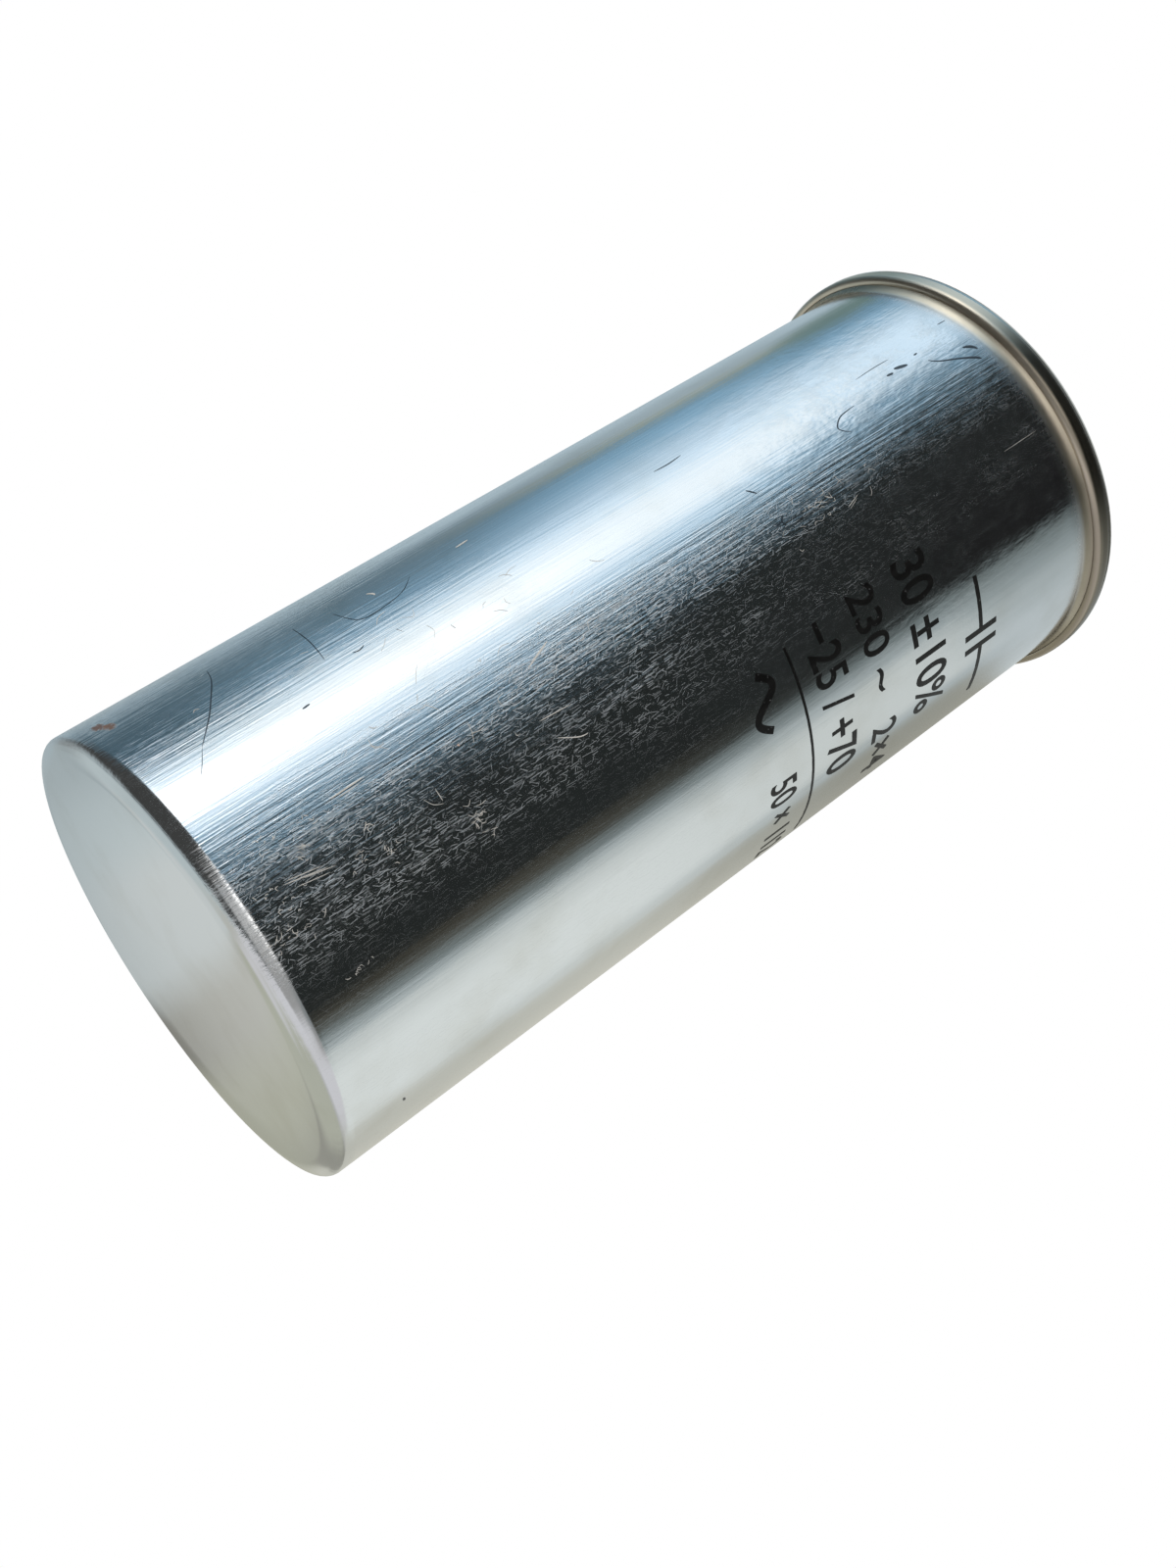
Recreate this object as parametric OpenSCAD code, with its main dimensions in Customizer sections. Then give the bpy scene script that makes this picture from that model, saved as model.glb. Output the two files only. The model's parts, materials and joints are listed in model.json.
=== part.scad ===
// Motor-run film capacitor in a round drawn can, standing on its closed end.
// Origin at the middle of the closed end's outer face, +Z along the can's axis.

/* [Can] */
// Outside diameter of the straight wall
can_d = 50; // [48:0.5:70]
// Height from the closed end to the top of the seam
can_h = 111.5; // [80:0.5:150]
// Thickness of the drawn wall and end
can_wall = 0.6; // [0.4:0.05:0.8]
// Tight outer radius where the wall turns into the closed end
corner_r = 1; // [0.9:0.1:1.5]
// Broad outer radius that fades the corner into the flat end
fade_r = 4; // [3:0.5:6]

/* [Seam] */
// How far the can's mouth is expanded past the wall
mouth_step = 0.85; // [0.6:0.05:1.2]
// Hollow radius at the foot of the expanded mouth
flare_r = 2; // [1.2:0.1:3]
// Round radius at the top of the expanded mouth
shoulder_r = 0.9; // [0.85:0.05:1.5]
// Height of the folded seam
seam_h = 3; // [2.6:0.1:4]
// Outer radius at the foot of the fold
fold_r = 0.75; // [0.7:0.05:1]
// Height above the foot of the fold at which the mouth runs straight
mouth_lift = 0.75; // [0.65:0.05:0.85]
// Room between the mouth and the fold round it
seam_play = 0.15; // [0.1:0.05:0.25]
// Room between the tip of the fold and the hollow foot of the mouth
tip_gap = 0.04; // [0.03:0.01:0.08]

/* [Cover] */
// Thickness of the cover's sheet
cover_t = 0.45; // [0.3:0.05:0.5]
// Depth of the cover's panel below the top of the seam
panel_depth = 5; // [4:0.5:9]
// Straight stretch between the panel's round edge and the ring groove
groove_leg = 0.15; // [0.05:0.05:2]
// Hollow radius of the ring groove
groove_r = 0.8; // [0.6:0.1:1]
// Inner radius where the panel turns down into the groove
panel_edge_r = 0.8; // [0.5:0.1:0.9]

/* [Terminals] */
// Distance between the middles of the two terminals
terminal_pitch = 22; // [20:0.5:23]
// Width of one push-on blade
blade_w = 6.3; // [4.8:0.1:6.5]
// Thickness of the terminal's sheet
blade_t = 0.8; // [0.5:0.1:1]
// Height of the blades above the underside of the terminal
blade_h = 11.5; // [10:0.5:16]
// Gap between the two blades on one side
blade_gap = 2.4; // [1.5:0.1:3]
// Width over the two rows of blades
base_w = 9.6; // [9:0.1:10.5]
// Inner radius of the bend between base and blade
blade_bend_r = 0.5; // [0.3:0.1:0.8]
// Diameter of the catch hole in a blade
catch_d = 1.8; // [1.2:0.1:2]
// Distance of the catch hole from the blade's tip
catch_drop = 4.1; // [3:0.1:5]
// Corner cut at the blade's tip
tip_cut = 1; // [0.5:0.1:1.5]

/* [Terminal insulators] */
// Thickness of the insulator under the terminal
insulator_t = 2.6; // [2:0.1:5]
// Width of the lip round the terminal
lip_w = 1; // [0.6:0.1:1.2]
// Height of the lip round the terminal
lip_h = 1; // [0.6:0.1:2]
// Corner radius of the insulator
insulator_r = 1.6; // [1:0.1:2.5]
// Diameter of the spigot that passes through the cover
spigot_d = 7; // [6:0.1:9]
// Diameter of the washer under the cover
washer_d = 11; // [9:0.5:13]
// Thickness of the washer under the cover
washer_t = 1.2; // [0.8:0.1:2]

/* [Rivets and solder lugs] */
// Diameter of the rivet's shank
rivet_d = 3; // [2.5:0.1:4]
// Diameter of the rivet's set head
head_d = 6.4; // [5.5:0.1:7]
// Height of the rivet's set head
head_h = 0.9; // [0.6:0.1:1.5]
// Diameter of the rivet's closed end
clinch_d = 4.6; // [4.2:0.1:6]
// Height of the rivet's closed end
clinch_h = 0.8; // [0.6:0.1:1.2]
// Diameter of the lug's eye
lug_d = 8; // [6.5:0.5:9]
// Thickness of the lug
lug_t = 0.6; // [0.4:0.1:0.8]
// Width of the lug's tail
tail_w = 4; // [3:0.5:5]

/* [Winding] */
// Outside diameter of the core tube
core_d = 10; // [9:0.5:16]
// Wall of the core tube
core_wall = 1; // [0.6:0.1:1.5]
// Thickness of the sprayed metal on each end of the winding
spray_t = 0.8; // [0.4:0.1:1.2]
// Bare film left round the sprayed metal
spray_margin = 0.3; // [0.1:0.1:1]

/* [Insulation] */
// Room between the can's wall and the liner
liner_gap = 0.6; // [0.3:0.1:1]
// Wall of the liner
liner_t = 0.8; // [0.4:0.1:1.2]
// Room between the liner and what stands inside it
winding_gap = 0.2; // [0.1:0.05:0.5]
// Thickness of the pad's disc
pad_t = 1.6; // [1.2:0.1:3]
// Height of the pad's ring
pad_ring_h = 2.2; // [2:0.1:4]
// Radial width of the pad's ring
pad_ring_w = 5.5; // [3:0.5:6.5]
// Height of the bevel under the pad's edge
pad_bevel = 0.6; // [0.6:0.1:1]
// Height of the top spacer
spacer_h = 9; // [7.5:0.5:14]
// Radial width of the spacer's ring
spacer_wall = 2; // [1.2:0.1:2.5]
// Height of the spacer's web above the winding
web_lift = 2.5; // [2:0.1:3]
// Thickness of the spacer's web
web_t = 1.5; // [1:0.1:2]

/* [Leads] */
// Diameter of a lead wire
wire_d = 1.2; // [0.8:0.1:1.4]
// Radius of the bend at the foot of the long lead
bend_r = 3; // [2:0.1:3.2]
// Distance of the long lead's solder spot from the axis
spot_reach = 12; // [10:0.5:13]
// Diameter of a solder spot
spot_d = 4; // [3:0.5:5]
// Height of a solder spot
spot_h = 1.6; // [1.5:0.1:1.8]
// Outside diameter of the sleeve on the long lead
sleeve_d = 2.6; // [2.2:0.1:4]
// Bare wire below the sleeve, above the bend
sleeve_foot = 1; // [0.5:0.5:5]
// Length of sleeve that stands above the spacer's web
sleeve_top = 2; // [1:0.5:3]
// Length of wire that stands above its lug
wire_tip = 0.5; // [0.2:0.1:0.8]

/* [Fits] */
// Clearance on each side of a close fit
fit = 0.05; // [0.03:0.01:0.08]
// Room between the cover and what stands under it
cover_room = 0.2; // [0.1:0.05:0.4]
// Room round a lead where it passes through the web
lead_room = 0.3; // [0.2:0.1:0.6]

/* [Hidden] */
$fn = 96;
ARC_STEPS = 10;
// Angle from the wall at which the tight corner hands over to the broad one
CORNER_TURN = 62;
// Overshoot of a cut past the face it opens
CUT = 1;

// Can
can_r = can_d/2;
can_in = can_r - can_wall;
corner_in = (fade_r - corner_r)*cos(CORNER_TURN);
corner_z = fade_r - (fade_r - corner_r)*sin(CORNER_TURN);
flat_r = can_r - corner_r - corner_in;

// Seam: the can's mouth inside the cover's fold
mouth_r = can_r + mouth_step;
flare_turn = acos(1 - mouth_step/(flare_r + shoulder_r));
rim_r = mouth_r + seam_play + cover_t;
chuck_out = can_in - fit;
chuck_in = chuck_out - cover_t;
bead_r = (rim_r - chuck_in)/2;
bead_mid = (rim_r + chuck_in)/2;
bead_z = can_h - bead_r;
fold_mid = rim_r - fold_r;
fold_z = can_h - seam_h + fold_r;
shoulder_z = can_h - seam_h + mouth_lift;
flare_z = shoulder_z - (flare_r + shoulder_r)*sin(flare_turn);
// The fold's outer round ends where it comes down on the flare, its inner round beside the mouth
flare_mid = can_r + flare_r;
fold_span = norm([flare_mid - fold_mid, fold_z - flare_z]);
fold_lean = atan2(fold_z - flare_z, flare_mid - fold_mid);
fold_end_out = fold_lean
    + acos((pow(fold_span, 2) + pow(fold_r, 2) - pow(flare_r - tip_gap, 2))/(2*fold_span*fold_r));
fold_end_in = acos((mouth_r + 2*fit - fold_mid)/(fold_r - cover_t));

// Cover
panel_z = can_h - panel_depth;
panel_under = panel_z - cover_t;
groove_mid = chuck_in - groove_r;
panel_edge = groove_mid - groove_r - cover_t - panel_edge_r;
panel_edge_z = panel_under - panel_edge_r;
groove_z = panel_edge_z - groove_leg;
groove_under = groove_z - groove_r - cover_t;

// Terminal stack, from the cover up and down
terminal_x = terminal_pitch/2;
terminal_z = panel_z + insulator_t;
terminal_len = 2*blade_w + blade_gap;
head_z = terminal_z + blade_t;
washer_z = panel_under - washer_t;
lug_z = washer_z - lug_t;
lug_reach = terminal_x;
lug_hole_d = wire_d + 2*fit;

// Winding stack, from the closed end up and from the cover down
liner_out = can_in - liner_gap;
liner_in = liner_out - liner_t;
winding_r = liner_in - winding_gap;
pad_top = can_wall + pad_t;
winding_foot = pad_top + pad_ring_h;
spacer_top = groove_under - cover_room;
winding_head = spacer_top - spacer_h;
web_z = winding_head + web_lift;
spray_r = winding_r - spray_margin;
core_r = core_d/2;
wire_r = wire_d/2;
run_z = winding_foot - wire_r - fit;
bend_top = run_z + bend_r;
wire_top = lug_z + lug_t + wire_tip;
sleeve_z = bend_top + sleeve_foot;
sleeve_h = web_z + web_t + sleeve_top - sleeve_z;

function arc(x, y, r, from, to) =
    [for (i = [0:ARC_STEPS]) let (a = from + (to - from)*i/ARC_STEPS) [x + r*cos(a), y + r*sin(a)]];

// Ring of rectangular section that stands on z
module ring(outer, inner, h, z) {
    translate([0, 0, z])
        difference() {
            cylinder(h = h, r = outer);
            translate([0, 0, -CUT])
                cylinder(h = h + 2*CUT, r = inner);
        }
}

// One surface of the can's wall, set in from the outside by an even thickness
function can_path(inset) = concat(
    arc(flat_r, fade_r, fade_r - inset, -90, -CORNER_TURN),
    arc(can_r - corner_r, corner_z, corner_r - inset, -CORNER_TURN, 0),
    arc(flare_mid, flare_z, flare_r + inset, 180, 180 - flare_turn),
    arc(mouth_r - shoulder_r, shoulder_z, shoulder_r - inset, -flare_turn, 0),
    [[mouth_r - inset, bead_z]]
);

function reversed(path) = [for (i = [len(path) - 1:-1:0]) path[i]];

module can() {
    color("silver")
        rotate_extrude()
            polygon(concat([[0, 0]], can_path(0), reversed(can_path(can_wall)), [[0, can_wall]]));
}

// Cover: flat panel, ring groove, wall inside the can, bead over its mouth and fold below it
cover_upper = concat(
    [[0, panel_z]],
    arc(panel_edge, panel_edge_z, panel_edge_r + cover_t, 90, 0),
    arc(groove_mid, groove_z, groove_r, 180, 360),
    arc(bead_mid, bead_z, bead_r, 180, 0),
    arc(fold_mid, fold_z, fold_r, 0, -fold_end_out)
);
cover_lower = concat(
    [[0, panel_under]],
    arc(panel_edge, panel_edge_z, panel_edge_r, 90, 0),
    arc(groove_mid, groove_z, groove_r + cover_t, 180, 360),
    arc(bead_mid, bead_z, bead_r - cover_t, 180, 0),
    arc(fold_mid, fold_z, fold_r - cover_t, 0, -fold_end_in)
);

module cover() {
    color("gainsboro")
        difference() {
            rotate_extrude()
                polygon(concat(cover_upper, reversed(cover_lower)));
            for (side = [-1, 1])
                translate([side*terminal_x, 0, panel_under - CUT])
                    cylinder(h = cover_t + 2*CUT, d = spigot_d + 2*fit);
        }
}

module seam_gasket() {
    color("dimgray")
        ring(mouth_r - can_wall - fit, chuck_out + fit, bead_z - shoulder_z, shoulder_z);
}

// Rectangle with round corners, middle at the origin
module round_plate(w, l, r) {
    square([w, l - 2*r], center = true);
    square([w - 2*r, l], center = true);
    for (x = [-1, 1], y = [-1, 1])
        translate([x*(w/2 - r), y*(l/2 - r)])
            circle(r = r);
}

// Moulded insulator: plate with a lip round the terminal and a spigot through the cover
module insulator() {
    color("#3a2a20")
        difference() {
            union() {
                translate([0, 0, panel_z])
                    linear_extrude(insulator_t + lip_h)
                        round_plate(base_w + 2*fit + 2*lip_w, terminal_len + 2*fit + 2*lip_w, insulator_r);
                translate([0, 0, panel_under])
                    cylinder(h = cover_t + insulator_t/2, d = spigot_d);
            }
            translate([-base_w/2 - fit, -terminal_len/2 - fit, terminal_z])
                cube([base_w + 2*fit, terminal_len + 2*fit, lip_h + CUT]);
            translate([0, 0, panel_under - CUT])
                cylinder(h = insulator_t + cover_t + 2*CUT, d = rivet_d + 2*fit);
        }
}

// Section of the terminal's channel, half on each side of the rivet
module channel_section() {
    half = base_w/2;
    bend_mid = half - blade_t - blade_bend_r;
    bend_out = blade_t + blade_bend_r;
    right_out = concat(arc(bend_mid, bend_out, bend_out, -90, 0), [[half, blade_h]]);
    right_in = concat(arc(bend_mid, bend_out, blade_bend_r, -90, 0), [[half - blade_t, blade_h]]);
    mirrored_out = [for (p = right_out) [-p[0], p[1]]];
    mirrored_in = [for (p = right_in) [-p[0], p[1]]];
    polygon(concat(right_out, reversed(right_in), mirrored_in, reversed(mirrored_out)));
}

// Side view of the terminal: two blades with cut corners above a common base
module blade_outline() {
    slot = blade_gap/2;
    end = terminal_len/2;
    root = blade_t + blade_bend_r;
    right = [
        [slot, root], [slot, blade_h - tip_cut], [slot + tip_cut, blade_h],
        [end - tip_cut, blade_h], [end, blade_h - tip_cut], [end, 0]
    ];
    polygon(concat(right, reversed([for (p = right) [-p[0], p[1]]])));
}

// Stamped terminal with two push-on blades on each side of its rivet
module terminal() {
    catch_y = (blade_gap + blade_w)/2;
    color("gold")
        translate([0, 0, terminal_z])
            difference() {
                intersection() {
                    rotate([90, 0, 0])
                        linear_extrude(terminal_len, center = true)
                            channel_section();
                    rotate([90, 0, 90])
                        linear_extrude(base_w, center = true)
                            blade_outline();
                }
                translate([0, 0, -CUT])
                    cylinder(h = blade_t + 2*CUT, d = rivet_d + 2*fit);
                for (side = [-1, 1])
                    translate([0, side*catch_y, blade_h - catch_drop])
                        rotate([0, 90, 0])
                            cylinder(h = base_w + 2*CUT, d = catch_d, center = true);
            }
}

// Half outline of a low round head that stands on y = 0
function dome(r, h) = let (bow = (r*r + h*h)/(2*h), turn = asin(r/bow))
    concat([[0, 0]], arc(0, h - bow, bow, 90 - turn, 90));

// Rivet with its set head on the terminal and its closed end under the lug
module rivet() {
    color("lightgray")
        union() {
            translate([0, 0, head_z])
                rotate_extrude()
                    polygon(dome(head_d/2, head_h));
            translate([0, 0, lug_z])
                cylinder(h = head_z - lug_z, d = rivet_d);
            translate([0, 0, lug_z])
                mirror([0, 0, 1])
                    rotate_extrude()
                        polygon(dome(clinch_d/2, clinch_h));
        }
}

module washer() {
    color("#c8b48c")
        ring(washer_d/2, rivet_d/2 + fit, washer_t, washer_z);
}

// Solder lug: an eye on the rivet and a tail with a hole for the wire
module lug() {
    color("lightsteelblue")
        difference() {
            translate([0, 0, lug_z])
                linear_extrude(lug_t)
                    union() {
                        circle(d = lug_d);
                        translate([0, -tail_w/2])
                            square([lug_reach, tail_w]);
                        translate([lug_reach, 0])
                            circle(d = tail_w);
                    }
            translate([0, 0, lug_z - CUT])
                cylinder(h = lug_t + 2*CUT, d = rivet_d + 2*fit);
            translate([lug_reach, 0, lug_z - CUT])
                cylinder(h = lug_t + 2*CUT, d = lug_hole_d);
        }
}

module at_left() {
    translate([-terminal_x, 0, 0])
        children();
}

module at_right() {
    translate([terminal_x, 0, 0])
        children();
}

module winding() {
    color("whitesmoke")
        ring(winding_r, core_r + fit, winding_head - winding_foot - 2*spray_t, winding_foot + spray_t);
}

module core_tube() {
    color("ivory")
        ring(core_r, core_r - core_wall, winding_head - winding_foot, winding_foot);
}

module spray_top() {
    color("darkgray")
        ring(spray_r, core_r + fit, spray_t, winding_head - spray_t);
}

module spray_bottom() {
    color("darkgray")
        ring(spray_r, core_r + fit, spray_t, winding_foot);
}

module liner() {
    color("aliceblue")
        ring(liner_out, liner_in, spacer_top - pad_top, pad_top);
}

// Pad on the can's floor: bevelled disc with a ring that holds the winding off it
module bottom_pad() {
    color("linen")
        union() {
            translate([0, 0, can_wall])
                cylinder(h = pad_bevel, r1 = flat_r, r2 = liner_out);
            translate([0, 0, can_wall + pad_bevel])
                cylinder(h = pad_t - pad_bevel, r = liner_out);
            ring(winding_r, winding_r - pad_ring_w, pad_ring_h, pad_top);
        }
}

// Spacer between winding and cover: a ring with a web that the two leads pass through
module top_spacer() {
    color("linen")
        difference() {
            union() {
                ring(winding_r, winding_r - spacer_wall, spacer_h, winding_head);
                translate([0, 0, web_z])
                    cylinder(h = web_t, r = winding_r - spacer_wall/2);
            }
            translate([0, 0, web_z - CUT])
                cylinder(h = web_t + 2*CUT, d = sleeve_d + 2*lead_room);
            translate([terminal_x, lug_reach, web_z - CUT])
                cylinder(h = web_t + 2*CUT, d = wire_d + 2*lead_room);
        }
}

// Short lead: from its solder spot on the upper spray straight up to the right lug
module lead_short() {
    color("peru")
        translate([terminal_x, lug_reach, winding_head])
            union() {
                rotate_extrude()
                    polygon(dome(spot_d/2, spot_h));
                cylinder(h = wire_top - winding_head, d = wire_d);
            }
}

// Long lead: from its solder spot under the lower spray, round the bend and up the core to the left lug
module lead_long() {
    color("peru")
        union() {
            translate([-spot_reach, 0, winding_foot])
                mirror([0, 0, 1])
                    rotate_extrude()
                        polygon(dome(spot_d/2, spot_h));
            translate([-spot_reach, 0, run_z])
                rotate([0, 90, 0])
                    cylinder(h = spot_reach - bend_r, d = wire_d);
            translate([-bend_r, 0, bend_top])
                rotate([90, 0, 0])
                    rotate_extrude(angle = -90)
                        translate([bend_r, 0])
                            circle(d = wire_d);
            translate([0, 0, bend_top])
                cylinder(h = wire_top - bend_top, d = wire_d);
        }
}

module lead_sleeve() {
    color("firebrick")
        ring(sleeve_d/2, wire_r + fit, sleeve_h, sleeve_z);
}

module insulator_left() { at_left() insulator(); }
module insulator_right() { at_right() insulator(); }
module terminal_left() { at_left() terminal(); }
module terminal_right() { at_right() terminal(); }
module rivet_left() { at_left() rivet(); }
module rivet_right() { at_right() rivet(); }
module washer_left() { at_left() washer(); }
module washer_right() { at_right() washer(); }
module lug_left() { at_left() lug(); }
module lug_right() { at_right() rotate([0, 0, 90]) lug(); }

can();
cover();
seam_gasket();
insulator_left();
insulator_right();
terminal_left();
terminal_right();
rivet_left();
rivet_right();
washer_left();
washer_right();
lug_left();
lug_right();
winding();
core_tube();
spray_top();
spray_bottom();
liner();
bottom_pad();
top_spacer();
lead_short();
lead_long();
lead_sleeve();
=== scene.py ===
import json
import math
import random

import bmesh
import bpy
from mathutils import Matrix, Vector


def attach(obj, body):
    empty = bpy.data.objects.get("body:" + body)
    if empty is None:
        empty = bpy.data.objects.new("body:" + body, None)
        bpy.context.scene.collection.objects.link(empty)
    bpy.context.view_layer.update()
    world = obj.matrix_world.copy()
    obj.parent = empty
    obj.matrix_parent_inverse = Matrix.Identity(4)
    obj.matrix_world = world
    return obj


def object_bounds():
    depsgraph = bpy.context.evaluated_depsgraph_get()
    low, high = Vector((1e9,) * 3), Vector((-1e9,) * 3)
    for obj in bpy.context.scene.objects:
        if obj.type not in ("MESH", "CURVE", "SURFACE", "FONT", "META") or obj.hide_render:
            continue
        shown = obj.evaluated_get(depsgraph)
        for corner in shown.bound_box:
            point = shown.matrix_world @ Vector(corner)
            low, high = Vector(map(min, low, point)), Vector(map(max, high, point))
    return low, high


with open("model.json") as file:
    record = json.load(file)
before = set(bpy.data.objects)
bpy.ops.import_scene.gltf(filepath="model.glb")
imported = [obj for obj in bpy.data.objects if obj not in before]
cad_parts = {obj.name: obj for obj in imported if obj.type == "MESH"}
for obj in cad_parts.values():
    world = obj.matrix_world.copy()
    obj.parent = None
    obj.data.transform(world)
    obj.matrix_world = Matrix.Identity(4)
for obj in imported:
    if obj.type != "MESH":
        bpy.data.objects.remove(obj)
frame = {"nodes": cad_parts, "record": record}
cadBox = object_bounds()
nodes = frame["nodes"]
mm = 0.001
canRadius = 25.0   # mm, the straight wall
print("frame:", len(nodes), "nodes")


# Shader maths: a Wire is one output socket, and sums on it add Math nodes
class Wire:
    def __init__(self, recipe, socket):
        self.recipe = recipe
        self.socket = socket

    def maths(self, operation, *values):
        return self.recipe.node("ShaderNodeMath", {"operation": operation}, dict(enumerate(values)))[0]

    def __add__(self, other):
        return self.maths("ADD", self, other)

    def __radd__(self, other):
        return self.maths("ADD", other, self)

    def __sub__(self, other):
        return self.maths("SUBTRACT", self, other)

    def __rsub__(self, other):
        return self.maths("SUBTRACT", other, self)

    def __mul__(self, other):
        return self.maths("MULTIPLY", self, other)

    def __rmul__(self, other):
        return self.maths("MULTIPLY", other, self)

    def __truediv__(self, other):
        return self.maths("DIVIDE", self, other)

    def __pow__(self, other):
        return self.maths("POWER", self, other)

    def __lt__(self, other):
        return self.maths("LESS_THAN", self, other)

    def __gt__(self, other):
        return self.maths("GREATER_THAN", self, other)

    def __abs__(self):
        return self.maths("ABSOLUTE", self)

    def __neg__(self):
        return self.maths("MULTIPLY", self, -1.0)


# A Recipe fills one node tree
class Recipe:
    def __init__(self, tree):
        self.tree = tree
        tree.nodes.clear()

    def node(self, kind, settings=None, values=None):
        made = self.tree.nodes.new(kind)
        for name, setting in (settings or {}).items():
            if name == "stops":
                self.setStops(made.color_ramp, setting)
            else:
                setattr(made, name, setting)
        for key, value in (values or {}).items():
            if isinstance(value, Wire):
                self.tree.links.new(value.socket, made.inputs[key])
            else:
                made.inputs[key].default_value = value
        outs = {}
        for index, socket in enumerate(made.outputs):
            outs[index] = Wire(self, socket)
            outs.setdefault(socket.name, outs[index])
        return outs

    def setStops(self, ramp, stops):
        ramp.interpolation = "EASE"
        while len(ramp.elements) < len(stops):
            ramp.elements.new(0.5)
        for element, (position, colour) in zip(ramp.elements, stops):
            element.position = position
            element.color = (*colour, 1.0)

    def place(self):   # in millimetres
        at = self.node("ShaderNodeTexCoord")["Object"]
        return self.node("ShaderNodeVectorMath", {"operation": "SCALE"}, {0: at, "Scale": 1 / mm})[0]

    def split(self, vector):
        outs = self.node("ShaderNodeSeparateXYZ", None, {0: vector})
        return outs["X"], outs["Y"], outs["Z"]

    def join(self, x, y, z=0.0):
        return self.node("ShaderNodeCombineXYZ", None, {0: x, 1: y, 2: z})[0]

    def stretch(self, vector, factors):
        return self.node("ShaderNodeVectorMath", {"operation": "MULTIPLY"}, {0: vector, 1: factors})[0]

    def noise(self, vector, scale, detail=2.0, roughness=0.5):
        values = {"Vector": vector, "Scale": scale, "Detail": detail, "Roughness": roughness}
        return self.node("ShaderNodeTexNoise", None, values)[0]

    def smooth(self, value, low, high):   # 0 below low, 1 above high
        values = {"Value": value, "From Min": low, "From Max": high}
        return self.node("ShaderNodeMapRange", {"interpolation_type": "SMOOTHSTEP"}, values)[0]

    def clamp(self, value):
        return self.node("ShaderNodeClamp", None, {0: value})[0]

    def blend(self, share, first, second):   # colours
        first, second = (c if isinstance(c, Wire) else (*c, 1.0) for c in (first, second))
        return self.node("ShaderNodeMix", {"data_type": "RGBA"}, {0: share, 6: first, 7: second})[2]

    def bump(self, height):   # height in millimetres
        values = {"Height": height, "Distance": mm, "Strength": 1.0}
        return self.node("ShaderNodeBump", None, values)["Normal"]

    def surface(self, shader):
        self.node("ShaderNodeOutputMaterial", None, {"Surface": shader})

    def skin(self, **sockets):   # Principled, with spaces for the capitals in socket names
        values = {}
        for name, value in sockets.items():
            label = "".join(" " + c if c.isupper() else c for c in name).strip().title()
            values[label.replace("Ior", "IOR")] = value
        self.surface(self.node("ShaderNodeBsdfPrincipled", None, values)["BSDF"])


def newFinish(name):
    material = bpy.data.materials.new(name)
    material.use_nodes = True
    return material, Recipe(material.node_tree)


def addObject(name, mesh, material):
    thing = bpy.data.objects.new(name, mesh)
    bpy.context.scene.collection.objects.link(thing)
    mesh.materials.append(material)
    return thing


# Camera: below the can's foot, close and rolled, as the photograph was taken
shot = {
    "place": (0.0, -175.185, -35.923),   # mm
    "tilt": 26.81,      # degrees up from level
    "roll": 56.695,
    "turn": 0.2,
    "focal": 1820.7,    # pixels
    "middle": (600, 720),   # pixel that the lens looks straight at
    "size": (1200, 1600),
}


def makeCamera():
    wide, high = shot["size"]
    data = bpy.data.cameras.new("camera")
    data.sensor_width = 36.0
    data.lens = shot["focal"] * data.sensor_width / high
    data.shift_x = (wide / 2 - shot["middle"][0]) / high
    data.shift_y = (shot["middle"][1] - high / 2) / high
    data.clip_start = 0.01
    tilt, roll, turn = (math.radians(shot[name]) for name in ("tilt", "roll", "turn"))
    level = Vector((math.cos(turn), -math.sin(turn), 0))
    ahead = Vector((math.sin(turn) * math.cos(tilt), math.cos(turn) * math.cos(tilt), math.sin(tilt)))
    above = level.cross(ahead)
    right = math.cos(roll) * level + math.sin(roll) * above
    up = math.cos(roll) * above - math.sin(roll) * level
    camera = bpy.data.objects.new("camera", data)
    camera.matrix_world = Matrix.Translation(Vector(shot["place"]) * mm) @ Matrix(
        (right, up, -ahead)).transposed().to_4x4()
    bpy.context.scene.collection.objects.link(camera)
    bpy.context.scene.camera = camera


makeCamera()
bpy.context.scene.view_settings.view_transform = "Standard"
print("camera: set")


# Floor: pale, seen from above only, so that the low camera looks at the can from under it
floor = {
    "drop": 0.0003,       # metres under the can's foot
    "half": 3.0,          # metres
    "colour": (0.86, 0.86, 0.85),
    "grain": 0.02,
    "speck": (0.4, 3.0),  # scale and detail of the grain
    "fade": (260, 900),   # mm from the middle between which it goes white
}


def makeFloor():
    material, r = newFinish("floorPaper")
    place = r.place()
    x, y = r.split(place)[:2]
    speck = r.noise(place, *floor["speck"])
    low = tuple(c - floor["grain"] for c in floor["colour"])
    paper = r.node("ShaderNodeBsdfDiffuse", None, {"Color": r.blend(speck, low, floor["colour"])})[0]
    white = r.node("ShaderNodeEmission", None, {"Color": (*room["white"], 1.0)})[0]
    far = r.smooth((x * x + y * y) ** 0.5, *floor["fade"])   # into the white of the room
    paper = r.node("ShaderNodeMixShader", None, {0: far, 1: paper, 2: white})[0]
    back = r.node("ShaderNodeNewGeometry")["Backfacing"]
    clear = r.node("ShaderNodeBsdfTransparent")[0]
    r.surface(r.node("ShaderNodeMixShader", None, {0: back, 1: paper, 2: clear})[0])
    material.cycles.emission_sampling = "NONE"
    mesh = bpy.data.meshes.new("floor")
    h = floor["half"]
    corners = [(-h, -h, 0), (h, -h, 0), (h, h, 0), (-h, h, 0)]
    mesh.from_pydata(corners, [], [(0, 1, 2, 3)])
    thing = addObject("floor", mesh, material)
    thing.location.z = -floor["drop"]
    for way in ("visible_diffuse", "visible_glossy", "visible_transmission", "visible_shadow"):
        setattr(thing, way, False)


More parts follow.
